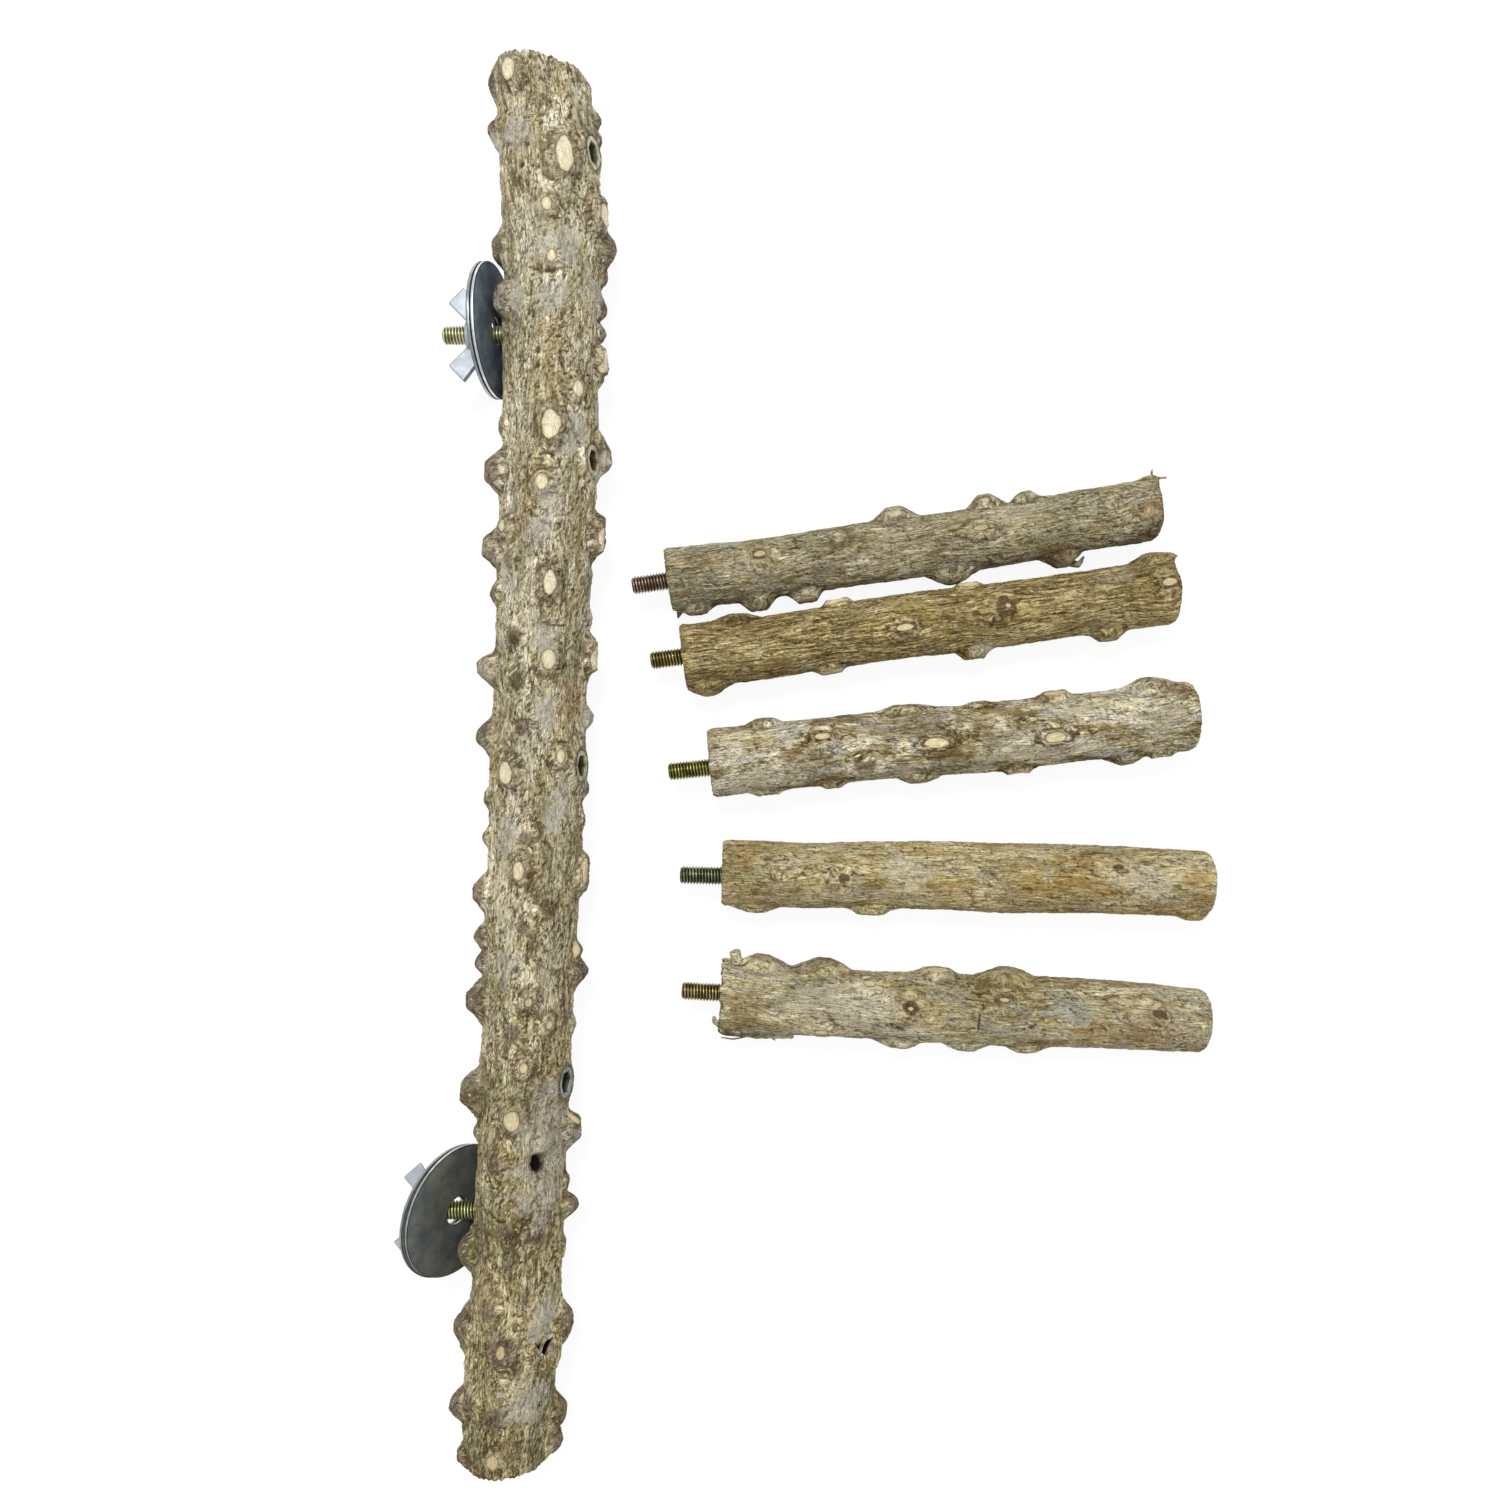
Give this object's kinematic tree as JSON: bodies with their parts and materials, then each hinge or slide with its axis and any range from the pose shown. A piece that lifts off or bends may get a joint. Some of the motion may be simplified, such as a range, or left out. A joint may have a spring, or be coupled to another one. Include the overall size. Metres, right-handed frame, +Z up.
{
  "type": "bird perch",
  "caption": "Knobbly natural wood trunk with washer and wing nut cage clamps and screw-in branch perches, laid out unassembled.",
  "frame": {"origin": "on the table under the middle of the laid out kit", "axes": "+Y along the trunk towards its upper end, +X from the trunk towards the branches, +Z up from the table"},
  "size_m": [0.2605, 0.4448, 0.0418],
  "materials": {
    "trunk_bark": "raw grey-brown bark with sawn knots",
    "insert_metal": "dull grey zinc, machined",
    "yellow_zinc_bolt": "yellow passivated zinc thread",
    "washer_steel": "bright zinc with a dark reflection",
    "wing_nut_zinc": "bright zinc, cold formed",
    "branch_bark_1": "raw thin bark",
    "stud_zinc_1": "yellow passivated zinc thread",
    "branch_bark_2": "raw thin bark",
    "stud_zinc_2": "yellow passivated zinc thread",
    "branch_bark_3": "raw thin bark",
    "stud_zinc_3": "yellow passivated zinc thread",
    "branch_bark_4": "raw thin bark",
    "stud_zinc_4": "yellow passivated zinc thread",
    "branch_bark_5": "raw thin bark",
    "stud_zinc_5": "yellow passivated zinc thread"
  },
  "bodies": {
    "trunk": {"trunk": "trunk_bark", "threaded_insert_1": "insert_metal", "threaded_insert_2": "insert_metal", "threaded_insert_3": "insert_metal", "threaded_insert_4": "insert_metal", "threaded_insert_5": "insert_metal", "upper_hanger_bolt": "yellow_zinc_bolt", "lower_hanger_bolt": "yellow_zinc_bolt"},
    "upper_inner_washer": {"upper_inner_washer": "washer_steel"},
    "upper_outer_washer": {"upper_outer_washer": "washer_steel"},
    "upper_wing_nut": {"upper_wing_nut": "wing_nut_zinc"},
    "lower_inner_washer": {"lower_inner_washer": "washer_steel"},
    "lower_outer_washer": {"lower_outer_washer": "washer_steel"},
    "lower_wing_nut": {"lower_wing_nut": "wing_nut_zinc"},
    "branch_1": {"branch_1": "branch_bark_1", "branch_stud_1": "stud_zinc_1"},
    "branch_2": {"branch_2": "branch_bark_2", "branch_stud_2": "stud_zinc_2"},
    "branch_3": {"branch_3": "branch_bark_3", "branch_stud_3": "stud_zinc_3"},
    "branch_4": {"branch_4": "branch_bark_4", "branch_stud_4": "stud_zinc_4"},
    "branch_5": {"branch_5": "branch_bark_5", "branch_stud_5": "stud_zinc_5"}
  },
  "joints": [
    {"name": "upper_inner_washer_slide", "type": "slide", "parent": "trunk", "child": "upper_inner_washer", "axis": [-1, 0, 0], "range_m": [-0.0003, 0]},
    {"name": "upper_outer_washer_slide", "type": "slide", "parent": "trunk", "child": "upper_outer_washer", "axis": [-1, 0, 0], "range_m": [0, 0.007]},
    {"name": "upper_wing_nut_spin", "type": "hinge", "parent": "upper_outer_washer", "child": "upper_wing_nut", "pos_m": [-0.10271, 0.1375, 0.02], "axis": [-1, 0, 0], "range_deg": [0, 2521]},
    {"name": "lower_inner_washer_slide", "type": "slide", "parent": "trunk", "child": "lower_inner_washer", "axis": [-1, 0, 0], "range_m": [-0.0002, 0]},
    {"name": "lower_outer_washer_slide", "type": "slide", "parent": "trunk", "child": "lower_outer_washer", "axis": [-1, 0, 0], "range_m": [0, 0.003]},
    {"name": "lower_wing_nut_spin", "type": "hinge", "parent": "lower_outer_washer", "child": "lower_wing_nut", "pos_m": [-0.11858, -0.142, 0.02], "axis": [-1, 0, 0], "range_deg": [0, 1081]},
    {"name": "branch_1_lift", "type": "slide", "parent": "trunk", "child": "branch_1", "axis": [0, 0, 1], "range_m": [0, 0.12]},
    {"name": "branch_2_lift", "type": "slide", "parent": "trunk", "child": "branch_2", "axis": [0, 0, 1], "range_m": [0, 0.12]},
    {"name": "branch_3_lift", "type": "slide", "parent": "trunk", "child": "branch_3", "axis": [0, 0, 1], "range_m": [0, 0.12]},
    {"name": "branch_4_lift", "type": "slide", "parent": "trunk", "child": "branch_4", "axis": [0, 0, 1], "range_m": [0, 0.12]},
    {"name": "branch_5_lift", "type": "slide", "parent": "trunk", "child": "branch_5", "axis": [0, 0, 1], "range_m": [0, 0.12]}
  ],
  "couplings": [
    {"joint": "upper_wing_nut_spin", "follows": "upper_outer_washer_slide", "rad_per_m": 6283.2},
    {"joint": "lower_wing_nut_spin", "follows": "lower_outer_washer_slide", "rad_per_m": 6283.2}
  ]
}
